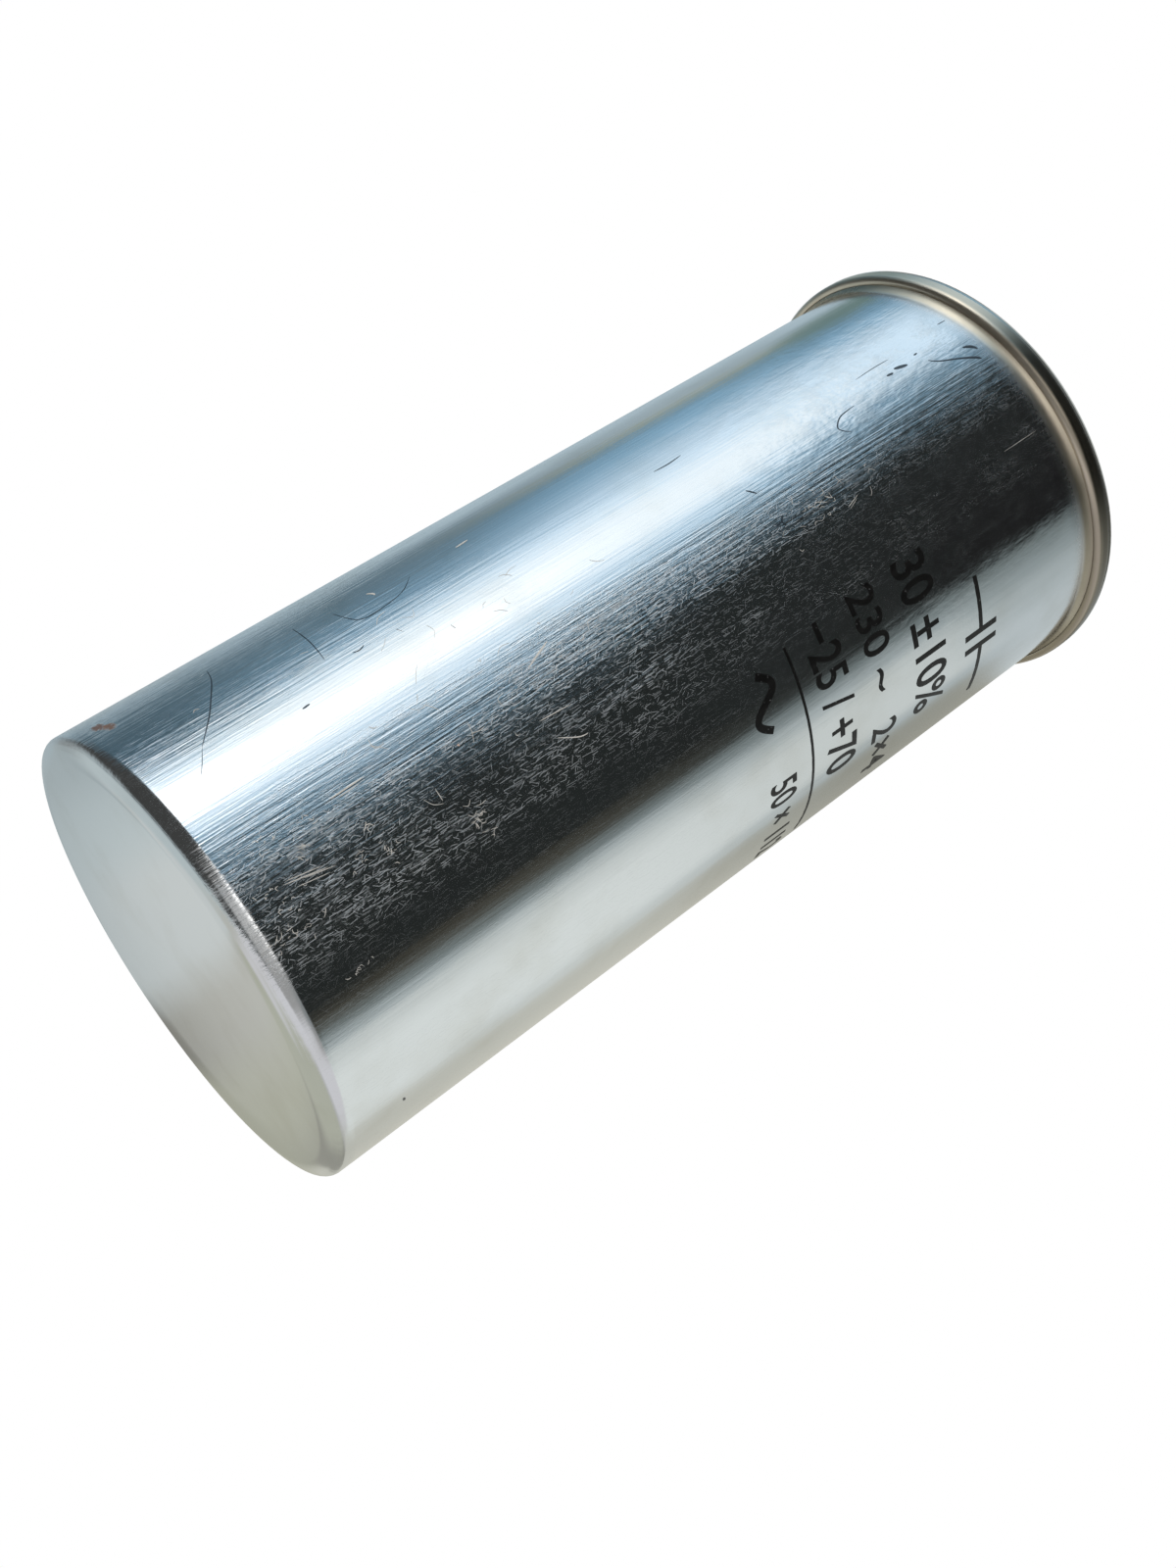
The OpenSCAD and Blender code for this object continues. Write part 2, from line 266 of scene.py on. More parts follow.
# Tent: cloths round the can, which only its metal sees; angles in degrees, 0 along +X, -90 towards the camera
tent = {
    "radius": 20.0,   # metres
    "segments": (48, 24),
    "strength": 2.0,
    "cloths": {
        "sun": (1.35, 1.38, 1.40),
        "window": (0.80, 0.82, 0.83),
        "glare": (0.58, 0.62, 0.64),
        "ice": (0.435, 0.53, 0.605),
        "sky": (0.325, 0.415, 0.49),
        "blue": (0.145, 0.248, 0.332),
        "steel": (0.092, 0.162, 0.217),
        "slate": (0.070, 0.105, 0.128),
        "ink": (0.036, 0.060, 0.076),
        "moss": (0.085, 0.125, 0.115),
        "lime": (0.200, 0.205, 0.140),
        "night": (0.032, 0.042, 0.048),
        "dark": (0.011, 0.0125, 0.012),
        "black": (0.007, 0.007, 0.007),
        "lead": (0.105, 0.122, 0.121),
        "pewter": (0.165, 0.188, 0.188),
        "dim": (0.235, 0.258, 0.258),
        "silver": (0.365, 0.378, 0.363),
        "pale": (0.440, 0.452, 0.434),
        "cool": (0.295, 0.320, 0.325),
        "warm": (0.310, 0.305, 0.268),
        "khaki": (0.180, 0.177, 0.152),
        "mist": (0.225, 0.280, 0.310),
        "vapour": (0.195, 0.238, 0.260),
        "fog": (0.285, 0.317, 0.319),
        "haze": (0.212, 0.240, 0.246),
        "plaster": (0.342, 0.355, 0.347),
        "bone": (0.287, 0.283, 0.258),
        "clay": (0.264, 0.264, 0.219),
        "drab": (0.215, 0.215, 0.175),
        "loam": (0.125, 0.122, 0.108),
        "shade": (0.065, 0.064, 0.055),
        "lilac": (0.380, 0.370, 0.378),
        "dun": (0.172, 0.168, 0.146),
        "linen": (0.92, 0.89, 0.87),
        "ash": (0.29, 0.285, 0.28),
        "putty": (0.195, 0.190, 0.185),
        "smoke": (0.125, 0.133, 0.133),
        "char": (0.070, 0.072, 0.072),
        "stone": (0.030, 0.030, 0.029),
        "umber": (0.034, 0.030, 0.022),
    },
    # rings of cloth from the ground up, each with the elevations between which it takes over from the last
    "rings": [
        (None, [(-180, "stone"), (-120, "stone"), (-84, "char"), (-62, "smoke"), (-46, "putty"),
                (-32, "lilac"), (79, "lilac"), (90, "bone"), (110, "fog"), (130, "haze"), (150, "stone"),
                (180, "stone")]),
        ((-60, -48), [(-180, "stone"), (-120, "stone"), (-100, "ash"), (-84, "ash"), (-70, "putty"),
                      (-46, "putty"), (-30, "lilac"), (14, "lilac"), (34, "ash"), (50, "clay"),
                      (84.5, "clay"), (88, "bone"), (90, "plaster"), (97, "plaster"), (106, "fog"),
                      (117, "fog"), (128, "haze"), (142, "stone"), (180, "stone")]),
        ((-30, -17), [(-180, "stone"), (-124, "stone"), (-108, "linen"), (-82, "linen"), (-66, "putty"),
                      (-40, "smoke"), (-28, "putty"), (-12, "lilac"), (14, "lilac"), (34, "bone"),
                      (52, "dun"), (79, "dun"), (84.8, "clay"), (87, "bone"), (88.8, "bone"), (90, "plaster"),
                      (92.6, "plaster"), (94.8, "fog"), (97.2, "haze"), (108, "haze"), (118, "smoke"),
                      (132, "stone"), (180, "stone")]),
        ((-12.3, -9.3), [(-180, "ink"), (-175, "steel"), (-171, "sky"), (-166, "ice"), (-159, "window"),
                         (-153, "sun"), (-148, "sun"), (-143, "window"), (-137, "ice"), (-131, "blue"),
                         (-120, "slate"), (-108, "night"), (-96, "dark"), (-43, "dark"), (-35, "umber"),
                         (-28, "lead"), (-24, "dim"), (-17, "silver"), (-5, "pale"), (20, "pale"),
                         (40, "warm"), (74, "warm"), (82, "drab"), (85.5, "drab"), (87.4, "loam"),
                         (88.7, "loam"), (89.9, "dim"), (93, "haze"), (126, "mist"), (135, "slate"),
                         (158, "ink"), (180, "ink")]),
        ((15, 19), [(-180, "blue"), (-177, "sky"), (-172, "ice"), (-163, "glare"), (-155, "window"),
                    (-148, "window"), (-142, "glare"), (-136, "ice"), (-129, "sky"), (-121, "steel"),
                    (-113, "slate"), (-104, "night"), (-93, "dark"), (-43, "dark"), (-35, "umber"),
                    (-28, "lead"), (-24, "dim"), (-17, "silver"), (-5, "pale"), (20, "pale"), (29, "silver"),
                    (40, "warm"), (84, "warm"), (92, "mist"), (127, "mist"), (136, "slate"), (152, "slate"),
                    (174, "steel"), (180, "blue")]),
        ((22, 34), [(-180, "sky"), (-170, "ice"), (-158, "glare"), (-147, "glare"), (-138, "ice"),
                    (-131, "blue"), (-124, "slate"), (-115, "night"), (-103, "dark"), (-34, "dark"),
                    (-25, "lead"), (-18, "dim"), (-7, "silver"), (20, "silver"), (29, "dim"), (38, "khaki"),
                    (84, "khaki"), (96, "mist"), (118, "mist"), (128, "vapour"), (138, "vapour"),
                    (142, "lime"), (147, "steel"), (159, "blue"), (180, "sky")]),
        ((37.3, 38.8), [(-180, "sky"), (-172, "ice"), (-154, "ice"), (-145, "sky"), (-136, "steel"),
                        (-127, "slate"), (-120, "night"), (-111, "dark"), (-34, "black"), (-24, "lead"),
                        (-13, "pewter"), (0, "dim"), (24, "cool"), (84, "cool"), (92, "mist"), (128, "mist"),
                        (139, "moss"), (148, "moss"), (156, "steel"), (167, "blue"), (176, "sky"),
                        (180, "sky")]),
        ((44.5, 48), [(-180, "blue"), (-154, "blue"), (-138, "slate"), (-122, "black"), (-24, "black"),
                      (6, "shade"), (60, "shade"), (90, "loam"), (140, "loam"), (160, "steel"),
                      (180, "blue")]),
        ((58, 72), [(-180, "fog"), (-90, "cool"), (0, "silver"), (90, "plaster"), (180, "fog")]),
    ],
}


def makeTent():
    material, r = newFinish("tentCloth")
    at = r.node("ShaderNodeTexCoord")["Object"]
    x, y, z = r.split(r.node("ShaderNodeVectorMath", {"operation": "NORMALIZE"}, {0: at})[0])
    around = x.maths("ARCTAN2", y, x) / (2 * math.pi) + 0.5
    height = z.maths("ARCSINE", z) * (180 / math.pi)
    colour = None
    for step, ring in tent["rings"]:
        stops = [((angle + 180) / 360, tent["cloths"][cloth]) for angle, cloth in ring]
        cloth = r.node("ShaderNodeValToRGB", {"stops": stops}, {0: around})["Color"]
        colour = r.blend(r.smooth(height, *step), colour, cloth) if step else cloth
    r.surface(r.node("ShaderNodeEmission", None, {"Color": colour, "Strength": tent["strength"]})[0])
    material.cycles.emission_sampling = "NONE"
    shape = bmesh.new()
    sides, bands = tent["segments"]
    bmesh.ops.create_uvsphere(shape, u_segments=sides, v_segments=bands, radius=tent["radius"])
    mesh = bpy.data.meshes.new("tent")
    shape.to_mesh(mesh)
    shape.free()
    thing = addObject("tent", mesh, material)
    for way in ("visible_camera", "visible_diffuse", "visible_transmission", "visible_shadow"):
        setattr(thing, way, False)


lamps = [
    {"name": "keyLamp", "at": (-0.55, -0.60, 0.90), "size": 0.7, "power": 7.0},
    {"name": "fillLamp", "at": (0.75, -0.20, 0.55), "size": 0.8, "power": 2.5},
    {"name": "backLamp", "at": (0.10, 0.80, 0.70), "size": 0.7, "power": 3.0},
]


def makeLamps():
    aim = (cadBox[0] + cadBox[1]) / 2
    for lamp in lamps:
        data = bpy.data.lights.new(lamp["name"], "AREA")
        data.size = lamp["size"]
        data.energy = lamp["power"]
        thing = bpy.data.objects.new(lamp["name"], data)
        thing.location = lamp["at"]
        thing.rotation_euler = (aim - Vector(lamp["at"])).to_track_quat("-Z", "Y").to_euler()
        thing.visible_glossy = False
        bpy.context.scene.collection.objects.link(thing)


room = {"shade": (0.42, 0.43, 0.44), "white": (1.0, 1.0, 1.0)}


def makeRoom():
    world = bpy.data.worlds.new("room")
    world.use_nodes = True
    bpy.context.scene.world = world
    r = Recipe(world.node_tree)
    path = r.node("ShaderNodeLightPath")
    seen = r.clamp(path["Is Camera Ray"] + path["Is Glossy Ray"] + path["Is Transmission Ray"])
    soft = r.node("ShaderNodeBackground", None, {"Color": (*room["shade"], 1.0)})[0]
    white = r.node("ShaderNodeBackground", None, {"Color": (*room["white"], 1.0)})[0]
    mixed = r.node("ShaderNodeMixShader", None, {0: seen, 1: soft, 2: white})[0]
    r.node("ShaderNodeOutputWorld", None, {"Surface": mixed})


makeFloor()
makeTent()
makeLamps()
makeRoom()
print("stage: floor, tent, lamps and room")


# Drawn aluminium of the can: a fine grain with lines along the axis, scuffs, scratches, a few stains
canFinish = {
    "colour": (0.72, 0.75, 0.77),
    "tarnish": (0.66, 0.68, 0.68),
    "cloud": (0.68, 0.70, 0.71),
    "creaseAndPaintedReflection": (0.78, 0.70, 0.56),   # painted reflection: a warm beige tint in the hollow under the seam, which is also duller
    "shaded": (0.37, 0.335, 0.265),   # painted shade: the same tint, darker, on the right side
    # noises: stretch, scale, detail, roughness
    "noises": {
        "grain": ((1, 1, 0.4), 7.0, 1.0, 0.5),
        "strokes": ((1, 1, 0.08), 9.0, 1.0, 0.5),
        "brush": ((1, 1, 0.025), 3.2, 3.0, 0.6),
        "lines": ((1, 1, 0.025), 1.8, 3.0, 0.65),
        "waves": ((1, 1, 0.05), 0.35, 2.0, 0.5),
        "dents": ((1, 1, 0.5), 0.5, 3.0, 0.6),
        "patches": ((1, 1, 1), 0.09, 3.0, 0.6),
        "scuffed": ((1, 1, 1), 0.4, 2.0, 0.5),
        "ragged": ((1, 1, 1), 2.6, 4.0, 0.7),
    },
    # levels of a noise between which what it draws comes on
    "levels": {
        "tarnish": (0.45, 0.75),
        "streak": (0.45, 0.75),
        "uneven": (0.34, 0.66),
        "clouds": (0.42, 0.66),
        "strokes": (0.40, 0.72),
        "grain": (0.42, 0.74),
        "scuffed": (0.58, 0.72),
        "scuffs": (0.52, 0.64),
        "stain": (0.0, 0.7),
    },
    # by how much a second noise sways the first
    "sways": {"uneven": 0.6, "clouds": 0.3, "strokes": 0.4, "stain": 3.0},
    # heights in mm between which a region comes on, or ends
    "up": {
        "wall": (0.3, 1.2),
        "corner": (0.3, 2.5),       # here it softens into the wall
        "flankEnd": (18, 50),
        "wornEnd": (38, 95),
        "clouds": (58, 88),
        "cloudsEnd": (104, 107),
        "grime": (105.0, 107.2),
        "creaseAndPaintedReflection": (107.1, 107.9),
    },
    # the same in mm to the right
    "right": {
        "rubbed": (-9.6, -5.6),
        "rubbedEnd": (2, 8),
        "edge": (-9.2, -7.0),       # of the rubbed band, where the brushing is deep
        "edgeEnd": (-5, -1),
        "roll": (-2, 10),
        "brushEnd": (3, 9),
        # painted shade: the seam's painted reflection darkens between these
        "thickAndShade": (6.0, 11.0),
    },
    "flankLeft": (13.5, 17),        # mm to the left
    "grimeFront": (9, 15),          # mm towards the camera
    "cloudsAt": -12,                # turn of the side with clouds and dents, in degrees
    "cloudsFacing": (0.6, 0.9),
    # shares of wear and brushing
    "wear": {"all": 0.12, "flank": 0.12, "rubbed": 0.88, "wornEnd": 0.82},
    "brushing": {"all": 0.3, "worn": 0.4, "flank": 0.8, "edge": 0.6, "brushEnd": 0.75},
    "leastWear": 0.5,
    "strokeShare": 0.65,            # strokes against grain in what is dull
    "grainLeft": 0.05,              # share of the grain where nothing is worn
    "scuffSlope": (0.6, 0.9),
    "scuffSquash": 0.4,
    "scuffNoise": (6.0, 1.0),
    "roughness": 0.12,
    "endRough": 0.10,
    "creaseRough": 0.14,
    "grimeRough": 0.16,
    "lineRough": 0.04,
    "grainRough": 0.31,
    "cloudRough": 0.10,
    "scuffRough": 0.25,
    "scratchRough": 0.30,
    "stainRough": 0.3,
    "scratchBare": 0.75,     # share of a scratch that is dull and pale
    "stainBare": 0.7,
    "scratchFaint": 0.3,     # strength of the shortest scratches
    "grainDepth": 0.016,     # depths in mm
    "strokeDepth": 0.012,
    "brushDepth": 0.060,
    "waveDepth": 0.03,
    "dentDepth": 0.08,
    "scuffDepth": 0.012,
    "scratchDepth": 0.010,
    "cornerDepth": 0.68,
    "rollFrom": 18.5,        # radius from which the closed end rolls off, and how fast
    "roll": 0.005,
    "scratches": [
        # cell in mm, cell's length against its width, turn either way in degrees, width, length, share
        {"cell": 0.24, "tall": 6.0, "turn": 5, "width": 0.045, "length": 1.4, "share": 0.75, "seed": 1.9},
        {"cell": 0.42, "tall": 1.3, "turn": 60, "width": 0.040, "length": 0.8, "share": 0.65, "seed": 5.3},
        {"cell": 0.8, "tall": 1.5, "turn": 60, "width": 0.040, "length": 1.1, "share": 0.4, "seed": 3.1},
        {"cell": 2.4, "tall": 2.0, "turn": 20, "width": 0.050, "length": 2.4, "share": 0.35, "seed": 7.7},
    ],
    "stains": [
        {"turn": -64.4, "z": 3.6, "wide": 1.2, "tall": 0.7, "colour": (0.22, 0.13, 0.10)},
        {"turn": -61.2, "z": 4.2, "wide": 1.1, "tall": 0.6, "colour": (0.25, 0.15, 0.11)},
        {"turn": -6.8, "z": 26.8, "wide": 0.15, "tall": 0.15, "colour": (0.85, 0.58, 0.45)},
        {"turn": 60, "z": 8.0, "wide": 0.35, "tall": 0.25, "colour": (0.05, 0.05, 0.05)},
    ],
}


def scratchLayer(r, u, z, layer):
    grid = r.join(u / layer["cell"] + layer["seed"], z / (layer["cell"] * layer["tall"]))
    cell = r.node("ShaderNodeTexVoronoi", {"voronoi_dimensions": "2D"}, {"Vector": grid, "Scale": 1.0})
    offset = r.node("ShaderNodeVectorMath", {"operation": "SUBTRACT"}, {0: grid, 1: cell["Position"]})[0]
    du, dz = r.split(offset)[:2]
    du = du * layer["cell"]
    dz = dz * (layer["cell"] * layer["tall"])
    lean, reach, there = r.split(cell["Color"])
    turn = (lean - 0.5) * math.radians(2 * layer["turn"])
    sine = turn.maths("SINE", turn)
    cosine = turn.maths("COSINE", turn)
    along = abs(dz * cosine + du * sine)
    across = abs(du * cosine - dz * sine)
    line = r.clamp(1 - across / layer["width"])
    faint = canFinish["scratchFaint"]
    strength = faint + (1 - faint) * reach
    return line * strength * (along < reach * (layer["length"] / 2)) * (there < layer["share"])


def makeCanMetal():
    material, r = newFinish("canMetal")
    place = r.place()
    x, y, z = r.split(place)
    turn = x.maths("ARCTAN2", x, -y)
    u = turn * canRadius
    radius = (x * x + y * y) ** 0.5
    noise = {name: r.noise(r.stretch(place, factors), *settings)
             for name, (factors, *settings) in canFinish["noises"].items()}
    up = {name: r.smooth(z, *span) for name, span in canFinish["up"].items()}
    right = {name: r.smooth(x, *span) for name, span in canFinish["right"].items()}

    def risen(value, name):
        return r.smooth(value, *canFinish["levels"][name])

    def sway(noiseName, name):   # about the noise's middle
        return (noise[noiseName] - 0.5) * canFinish["sways"][name]

    wall, creaseAndPaintedReflection = up["wall"], up["creaseAndPaintedReflection"]
    grime = up["grime"] * r.smooth(-y, *canFinish["grimeFront"])
    cloudsAt = math.radians(canFinish["cloudsAt"])
    facing = (x * math.sin(cloudsAt) - y * math.cos(cloudsAt)) / canRadius
    rubbed = right["rubbed"] * (1 - right["rubbedEnd"]) * (y < 0)
    edge = right["edge"] * (1 - right["edgeEnd"]) * (y < 0)
    flank = r.smooth(-x, *canFinish["flankLeft"]) * (1 - up["flankEnd"])
    uneven = canFinish["leastWear"] + risen(noise["waves"] + sway("patches", "uneven"), "uneven")
    bare = wall * (1 - creaseAndPaintedReflection)
    wear = canFinish["wear"]
    worn = (bare * (wear["all"] + wear["flank"] * flank + wear["rubbed"] * rubbed) * uneven
            * (1 - wear["wornEnd"] * up["wornEnd"]))
    clouded = up["clouds"] * (1 - up["cloudsEnd"]) * r.smooth(facing, *canFinish["cloudsFacing"])
    clouds = risen(noise["dents"] + sway("grain", "clouds"), "clouds") * clouded
    strokeShare = canFinish["strokeShare"]
    dull = (risen(noise["strokes"] + sway("lines", "strokes"), "strokes") * strokeShare
            + risen(noise["grain"], "grain") * (1 - strokeShare)) * worn
    over = radius.maths("MAXIMUM", radius - canFinish["rollFrom"], 0.0)
    corner = 1 - up["corner"]
    scratches = None
    for layer in canFinish["scratches"]:
        found = scratchLayer(r, u, z, layer)
        scratches = found if scratches is None else scratches.maths("MAXIMUM", scratches, found)
    scratches = scratches * worn
    across, along = canFinish["scuffSlope"]
    slant = r.join(u * across - z * along, (u * along + z * across) * canFinish["scuffSquash"])
    scuffs = (risen(noise["scuffed"], "scuffed") * risen(r.noise(slant, *canFinish["scuffNoise"]), "scuffs")
              * worn)
    streak = risen(noise["lines"], "streak") * wall
    rough = (canFinish["roughness"] + streak * canFinish["lineRough"] + dull * canFinish["grainRough"]
             + scuffs * canFinish["scuffRough"] + scratches * canFinish["scratchRough"]
             + clouds * canFinish["cloudRough"] + grime * canFinish["grimeRough"]
             + creaseAndPaintedReflection * canFinish["creaseRough"]
             + (1 - wall) * (canFinish["endRough"] - canFinish["roughness"]))
    brushing, grainLeft = canFinish["brushing"], canFinish["grainLeft"]
    brushed = (brushing["all"] + brushing["worn"] * worn + brushing["flank"] * flank
               + brushing["edge"] * edge) * (1 - brushing["brushEnd"] * right["brushEnd"])
    height = (noise["grain"] * (grainLeft + (1 - grainLeft) * worn) * canFinish["grainDepth"]
              + noise["strokes"] * worn * canFinish["strokeDepth"]
              + noise["brush"] * bare * brushed * canFinish["brushDepth"]
              - corner * canFinish["cornerDepth"]
              + noise["waves"] * bare * canFinish["waveDepth"]
              + noise["dents"] * clouded * canFinish["dentDepth"]
              + scuffs * canFinish["scuffDepth"] - scratches * canFinish["scratchDepth"]
              - over * over * (1 - wall) * right["roll"] * canFinish["roll"])
    colour = r.blend(risen(noise["patches"], "tarnish"), canFinish["colour"], canFinish["tarnish"])
    colour = r.blend(clouds, colour, canFinish["cloud"])
    # painted reflection in the crease, going over to painted shade on the right side
    seamPaintedLight = r.blend(right["thickAndShade"], canFinish["creaseAndPaintedReflection"], canFinish["shaded"])
    colour = r.blend(creaseAndPaintedReflection, colour, seamPaintedLight)
    metal = 1 - scratches * canFinish["scratchBare"]
    ragged = sway("ragged", "stain")
    for stain in canFinish["stains"]:
        du = (u - math.radians(stain["turn"]) * canRadius) / stain["wide"]
        dz = (z - stain["z"]) / stain["tall"]
        mask = risen(1 - (du * du + dz * dz) + ragged, "stain")
        colour = r.blend(mask, colour, stain["colour"])
        metal = metal - mask * canFinish["stainBare"]
        rough = rough + mask * canFinish["stainRough"]
    r.skin(BaseColor=colour, Metallic=r.clamp(metal), Roughness=r.clamp(rough), Normal=r.bump(height))
    return material


# Tinned steel of the cover, rolled round at the bead
coverFinish = {
    "colour": (0.70, 0.71, 0.70),
    "dull": (0.60, 0.58, 0.54),
    "dullFrom": (0.4, 0.7),       # levels of the clouds between which it comes on
    "foot": (0.66, 0.59, 0.48),   # painted reflection: a warm beige tint on the foot of the fold, duller, as on the can
    "shaded": (0.20, 0.18, 0.145),
    "paintedShadeFrom": (-11, -4),       # mm to the right, and heights, between which the painted shade comes on
    "shadedFrom": (108.5, 109.0),
    "lowFrom": (6, 16),           # mm to the right between which the painted shade comes on at all heights, and its share
    "lowShare": 0.6,
    "footTo": (109.8, 111.0),     # heights between which it goes
    "rolled": (4.0, 3.0, 0.6),    # noises: scale, detail, roughness
    "clouds": (0.25, 3.0, 0.6),
    "rolledTurn": 0.6,
    "roughness": 0.18,
    "rolledRough": 0.12,
    "cloudRough": 0.12,
    "roughFrom": (0.5, 0.8),
    "footRough": 0.16,
    "depth": 0.006,
}


def makeCoverMetal():
    material, r = newFinish("coverMetal")
    place = r.place()
    x, y, z = r.split(place)
    radius = (x * x + y * y) ** 0.5
    turn = x.maths("ARCTAN2", x, y) * coverFinish["rolledTurn"]
    rolled = r.noise(r.join(radius, z, turn), *coverFinish["rolled"])
    cloud = r.noise(place, *coverFinish["clouds"])
    foot = (1 - r.smooth(z, *coverFinish["footTo"])) * (radius > canRadius)
    dull = r.smooth(cloud, *coverFinish["dullFrom"])
    colour = r.blend(dull, coverFinish["colour"], coverFinish["dull"])
    # painted shade over the foot's painted reflection: darker to the right and above the fold's tip
    thickAndShade = r.smooth(x, *coverFinish["paintedShadeFrom"]) * r.smooth(z, *coverFinish["shadedFrom"])
    low = r.smooth(x, *coverFinish["lowFrom"]) * coverFinish["lowShare"]
    thickAndShade = thickAndShade.maths("MAXIMUM", thickAndShade, low)
    seamPaintedLight = r.blend(thickAndShade, coverFinish["foot"], coverFinish["shaded"])
    colour = r.blend(foot, colour, seamPaintedLight)
    rough = (coverFinish["roughness"] + (rolled - 0.5) * coverFinish["rolledRough"]
             + r.smooth(cloud, *coverFinish["roughFrom"]) * coverFinish["cloudRough"]
             + foot * coverFinish["footRough"])
    r.skin(BaseColor=colour, Metallic=1.0, Roughness=r.clamp(rough),
           Normal=r.bump(rolled * coverFinish["depth"]))
    return material


# Bright tin plate of the stampings and rivets: brushed one way, yellowing where it is thin
tinFinishes = {
    "terminal_metal": {"colour": (0.80, 0.78, 0.73), "thin": (0.74, 0.62, 0.38), "brush": (0.5, 6.0, 0.5)},
    "rivet_metal": {"colour": (0.78, 0.77, 0.74), "thin": (0.72, 0.62, 0.42), "brush": (1.5, 1.5, 1.5)},
    "lug_metal": {"colour": (0.75, 0.75, 0.73), "thin": (0.70, 0.60, 0.40), "brush": (6.0, 0.5, 0.5)},
    "lead_wire": {"colour": (0.76, 0.74, 0.70), "thin": (0.72, 0.45, 0.28), "brush": (3.0, 3.0, 0.4)},
    "spray_metal": {"colour": (0.50, 0.51, 0.52), "thin": (0.40, 0.41, 0.43), "brush": (4.0, 4.0, 4.0)},
}
tinPlate = {
    "brushed": (2.0, 3.0, 0.6),   # noises: scale, detail, roughness
    "clouds": (0.5, 3.0, 0.6),
    "thinFrom": (0.5, 0.8),       # levels of the clouds between which it is thin, and rough
    "roughFrom": (0.4, 0.8),
    "roughness": 0.22,
    "brushRough": 0.25,
    "cloudRough": 0.12,
    "depth": 0.012,
}


def makeTin(slot):
    finish = tinFinishes[slot]
    material, r = newFinish(slot)
    place = r.place()
    brushed = r.noise(r.stretch(place, finish["brush"]), *tinPlate["brushed"])
    cloud = r.noise(place, *tinPlate["clouds"])
    colour = r.blend(r.smooth(cloud, *tinPlate["thinFrom"]), finish["colour"], finish["thin"])
    rough = (tinPlate["roughness"] + (brushed - 0.5) * tinPlate["brushRough"]
             + r.smooth(cloud, *tinPlate["roughFrom"]) * tinPlate["cloudRough"])
    r.skin(BaseColor=colour, Metallic=1.0, Roughness=r.clamp(rough),
           Normal=r.bump(brushed * tinPlate["depth"]))
    return material


# Moulded, laminated and extruded pieces: a mottled colour and a fine skin
plainFinishes = {
    "gasket_rubber": {"colour": (0.05, 0.05, 0.05), "other": (0.08, 0.08, 0.08), "rough": 0.7, "grain": 2.0},
    "insulator_plastic": {"colour": (0.085, 0.055, 0.038), "other": (0.13, 0.085, 0.055), "rough": 0.36,
                          "grain": 3.0},
    "washer_board": {"colour": (0.50, 0.37, 0.22), "other": (0.60, 0.47, 0.30), "rough": 0.6, "grain": 1.5},
    "winding_film": {"colour": (0.62, 0.64, 0.67), "other": (0.74, 0.75, 0.77), "rough": 0.25, "grain": 4.0},
    "core_plastic": {"colour": (0.76, 0.73, 0.64), "other": (0.83, 0.81, 0.74), "rough": 0.45, "grain": 1.0},
    "liner_plastic": {"colour": (0.78, 0.81, 0.82), "other": (0.85, 0.87, 0.88), "rough": 0.3, "grain": 0.6},
    "spacer_plastic": {"colour": (0.82, 0.80, 0.73), "other": (0.88, 0.86, 0.80), "rough": 0.48,
                       "grain": 1.2},
    "sleeve_plastic": {"colour": (0.48, 0.07, 0.05), "other": (0.60, 0.12, 0.09), "rough": 0.42,
                       "grain": 2.0},
}
plainSkin = {
    "mottleScale": 0.35,          # both scales go with the piece's grain
    "mottleDetail": (4.0, 0.6),
    "skinScale": 5.0,
    "skinDetail": 2.0,
    "otherFrom": (0.3, 0.7),      # levels of the mottle between which the other colour comes on
    "mottleRough": 0.1,
    "skinRough": 0.16,
    "depth": 0.006,
}


def makePlain(slot):
    finish = plainFinishes[slot]
    material, r = newFinish(slot)
    place = r.place()
    mottle = r.noise(place, plainSkin["mottleScale"] * finish["grain"], *plainSkin["mottleDetail"])
    skin = r.noise(place, plainSkin["skinScale"] * finish["grain"], plainSkin["skinDetail"])
    colour = r.blend(r.smooth(mottle, *plainSkin["otherFrom"]), finish["colour"], finish["other"])
    rough = (finish["rough"] + (skin - 0.5) * plainSkin["skinRough"]
             + (mottle - 0.5) * plainSkin["mottleRough"])
    r.skin(BaseColor=colour, Roughness=r.clamp(rough), Normal=r.bump(skin * plainSkin["depth"]))
    return material


finishes = {"can_metal": makeCanMetal(), "cover_metal": makeCoverMetal()}
finishes.update({slot: makeTin(slot) for slot in tinFinishes})
finishes.update({slot: makePlain(slot) for slot in plainFinishes})
for subpart in frame["record"]["subparts"]:
    thing = nodes[subpart["node"]]
    thing.data.materials.clear()
    thing.data.materials.append(finishes[subpart["material_slot"]])
print("finishes:", len(finishes), "materials on the frame's nodes")


# Flat work that is wrapped on the can: X runs round the wall, Y up it and Z out of it, in mm
def smoothPath(points, steps):
    path = []
    padded = [points[0], *points, points[-1]]
    for a, b, c, d in zip(padded, padded[1:], padded[2:], padded[3:]):
        for i in range(steps):
            t = i / steps
            path.append(tuple(
                0.5 * (2 * q + (s - p) * t + (2 * p - 5 * q + 4 * s - w) * t * t
                       + (3 * q - p - 3 * s + w) * t ** 3)
                for p, q, s, w in zip(a, b, c, d)))
    return [*path, points[-1]]


def addStrip(sheet, path, widths, thickness):
    rows = []
    for i, (x, y) in enumerate(path):
        before, after = path[max(i - 1, 0)], path[min(i + 1, len(path) - 1)]
        run = Vector((after[0] - before[0], after[1] - before[1])).normalized()
        side = Vector((-run.y, run.x)) * widths[i] / 2
        left, right = (x - side.x, y - side.y), (x + side.x, y + side.y)
        rows.append([sheet.verts.new((*p, h)) for p, h in (
            (left, 0), (right, 0), (right, thickness), (left, thickness))])
    for first, second in zip(rows, rows[1:]):
        for k in range(4):
            sheet.faces.new((first[k], first[(k + 1) % 4], second[(k + 1) % 4], second[k]))
    sheet.faces.new(rows[0][::-1])
    sheet.faces.new(rows[-1])


